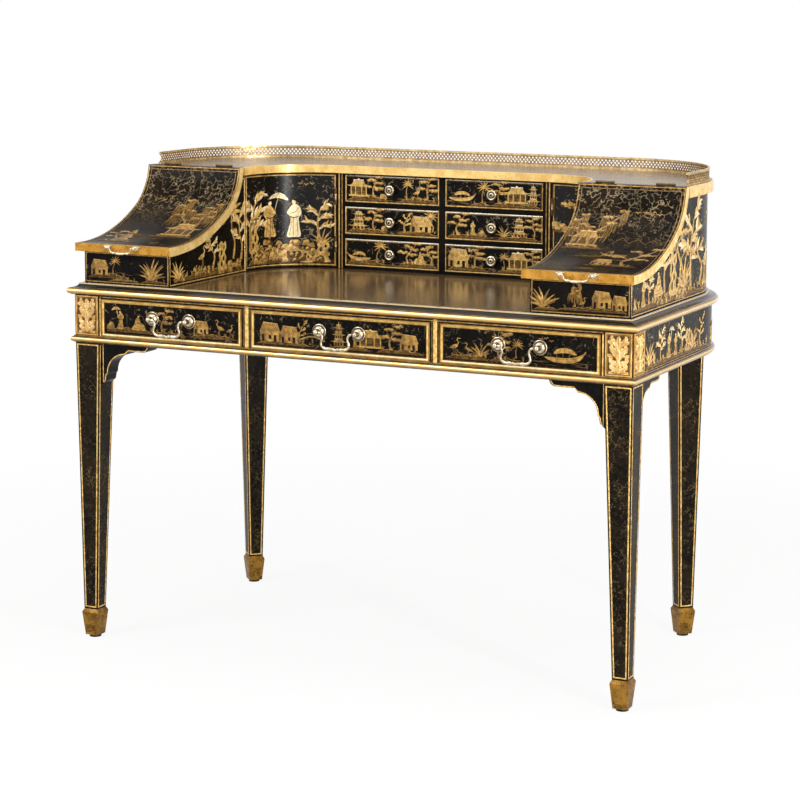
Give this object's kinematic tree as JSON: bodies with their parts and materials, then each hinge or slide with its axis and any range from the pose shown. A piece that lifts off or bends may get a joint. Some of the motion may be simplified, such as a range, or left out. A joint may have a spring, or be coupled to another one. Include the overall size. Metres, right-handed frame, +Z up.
{
  "type": "writing desk with curved superstructure",
  "caption": "Free-standing writing desk: tapered legs, frieze drawers, and a curved rear case with small drawers, concave doors, sloped lidded wings and a pierced gallery.",
  "frame": {"origin": "on the floor, under the middle of the whole desk", "axes": "+Z up, the front with the frieze drawers faces -Y, +X to the right of someone facing the front"},
  "size_m": [1.266, 0.7096, 1.014],
  "materials": {
    "black_lacquer": "glossy black lacquer with fine age cracks and gilt decoration",
    "gilt_wood": "burnished gilding, worn at the edges",
    "brass_fittings": "pale polished brass",
    "silvered_metal": "soft silvery polish",
    "plain_wood": "planed and left plain",
    "polished_board": "very dark brown, high gloss",
    "steel_glides": "dark and dull"
  },
  "bodies": {
    "desk": {"front_left_leg": "black_lacquer", "front_right_leg": "black_lacquer", "rear_left_leg": "black_lacquer", "rear_right_leg": "black_lacquer", "foot_glides": "steel_glides", "corner_brackets": "black_lacquer", "drawer_framing": "plain_wood", "left_frieze": "black_lacquer", "right_frieze": "black_lacquer", "back_frieze": "black_lacquer", "frieze_bead": "gilt_wood", "desk_top": "black_lacquer", "top_bead": "gilt_wood", "writing_surface": "polished_board", "corner_ornaments": "gilt_wood", "left_wing_side": "black_lacquer", "right_wing_side": "black_lacquer", "upper_back": "black_lacquer", "left_wing_box": "black_lacquer", "right_wing_box": "black_lacquer", "drawer_case": "black_lacquer", "shelf": "black_lacquer", "shelf_moulding": "gilt_wood", "gallery_rails": "brass_fittings", "gallery_lattice": "brass_fittings", "fixed_hinges": "brass_fittings"},
    "left_drawer": {"left_drawer_front": "black_lacquer", "left_drawer_box": "plain_wood", "left_drawer_pull_plates": "silvered_metal"},
    "left_drawer_handle": {"left_drawer_bail": "silvered_metal"},
    "middle_drawer": {"middle_drawer_front": "black_lacquer", "middle_drawer_box": "plain_wood", "middle_drawer_pull_plates": "silvered_metal"},
    "middle_drawer_handle": {"middle_drawer_bail": "silvered_metal"},
    "right_drawer": {"right_drawer_front": "black_lacquer", "right_drawer_box": "plain_wood", "right_drawer_pull_plates": "silvered_metal"},
    "right_drawer_handle": {"right_drawer_bail": "silvered_metal"},
    "left_small_drawer_1": {"left_small_drawer_1": "black_lacquer", "left_small_drawer_1_knob": "silvered_metal"},
    "left_small_drawer_2": {"left_small_drawer_2": "black_lacquer", "left_small_drawer_2_knob": "silvered_metal"},
    "left_small_drawer_3": {"left_small_drawer_3": "black_lacquer", "left_small_drawer_3_knob": "silvered_metal"},
    "right_small_drawer_1": {"right_small_drawer_1": "black_lacquer", "right_small_drawer_1_knob": "silvered_metal"},
    "right_small_drawer_2": {"right_small_drawer_2": "black_lacquer", "right_small_drawer_2_knob": "silvered_metal"},
    "right_small_drawer_3": {"right_small_drawer_3": "black_lacquer", "right_small_drawer_3_knob": "silvered_metal"},
    "left_lid": {"left_lid": "black_lacquer", "left_lid_fittings": "silvered_metal"},
    "left_lid_handle": {"left_lid_bail": "silvered_metal"},
    "left_door": {"left_door": "black_lacquer", "left_door_fittings": "brass_fittings"},
    "right_lid": {"right_lid": "black_lacquer", "right_lid_fittings": "silvered_metal"},
    "right_lid_handle": {"right_lid_bail": "silvered_metal"},
    "right_door": {"right_door": "black_lacquer", "right_door_fittings": "brass_fittings"}
  },
  "joints": [
    {"name": "left_drawer_slide", "type": "slide", "parent": "desk", "child": "left_drawer", "axis": [0, -1, 0], "range_m": [0, 0.29]},
    {"name": "left_drawer_handle_hinge", "type": "hinge", "parent": "left_drawer", "child": "left_drawer_handle", "pos_m": [-0.388, -0.3502, 0.6962], "axis": [-1, 0, 0], "range_deg": [0, 80]},
    {"name": "middle_drawer_slide", "type": "slide", "parent": "desk", "child": "middle_drawer", "axis": [0, -1, 0], "range_m": [0, 0.29]},
    {"name": "middle_drawer_handle_hinge", "type": "hinge", "parent": "middle_drawer", "child": "middle_drawer_handle", "pos_m": [0, -0.3502, 0.6962], "axis": [-1, 0, 0], "range_deg": [0, 80]},
    {"name": "right_drawer_slide", "type": "slide", "parent": "desk", "child": "right_drawer", "axis": [0, -1, 0], "range_m": [0, 0.29]},
    {"name": "right_drawer_handle_hinge", "type": "hinge", "parent": "right_drawer", "child": "right_drawer_handle", "pos_m": [0.388, -0.3502, 0.6962], "axis": [-1, 0, 0], "range_deg": [0, 80]},
    {"name": "left_small_drawer_1_slide", "type": "slide", "parent": "desk", "child": "left_small_drawer_1", "axis": [0, -1, 0], "range_m": [0, 0.115]},
    {"name": "left_small_drawer_2_slide", "type": "slide", "parent": "desk", "child": "left_small_drawer_2", "axis": [0, -1, 0], "range_m": [0, 0.115]},
    {"name": "left_small_drawer_3_slide", "type": "slide", "parent": "desk", "child": "left_small_drawer_3", "axis": [0, -1, 0], "range_m": [0, 0.115]},
    {"name": "right_small_drawer_1_slide", "type": "slide", "parent": "desk", "child": "right_small_drawer_1", "axis": [0, -1, 0], "range_m": [0, 0.115]},
    {"name": "right_small_drawer_2_slide", "type": "slide", "parent": "desk", "child": "right_small_drawer_2", "axis": [0, -1, 0], "range_m": [0, 0.115]},
    {"name": "right_small_drawer_3_slide", "type": "slide", "parent": "desk", "child": "right_small_drawer_3", "axis": [0, -1, 0], "range_m": [0, 0.115]},
    {"name": "left_lid_hinge", "type": "hinge", "parent": "desk", "child": "left_lid", "pos_m": [-0.5045, -0.02429, 0.9905], "axis": [-1, 0, 0], "range_deg": [0, 110]},
    {"name": "left_lid_handle_hinge", "type": "hinge", "parent": "left_lid", "child": "left_lid_handle", "pos_m": [-0.5045, -0.3392, 0.83884], "axis": [-1, 0, 0], "range_deg": [0, 80]},
    {"name": "left_door_hinge", "type": "hinge", "parent": "desk", "child": "left_door", "pos_m": [-0.2572, 0.1443, 0.8655], "axis": [0, 0, 1], "range_deg": [0, 50]},
    {"name": "right_lid_hinge", "type": "hinge", "parent": "desk", "child": "right_lid", "pos_m": [0.5045, -0.02429, 0.9905], "axis": [-1, 0, 0], "range_deg": [0, 110]},
    {"name": "right_lid_handle_hinge", "type": "hinge", "parent": "right_lid", "child": "right_lid_handle", "pos_m": [0.5045, -0.3392, 0.83884], "axis": [-1, 0, 0], "range_deg": [0, 80]},
    {"name": "right_door_hinge", "type": "hinge", "parent": "desk", "child": "right_door", "pos_m": [0.2572, 0.1443, 0.8655], "axis": [0, 0, -1], "range_deg": [0, 50]}
  ]
}
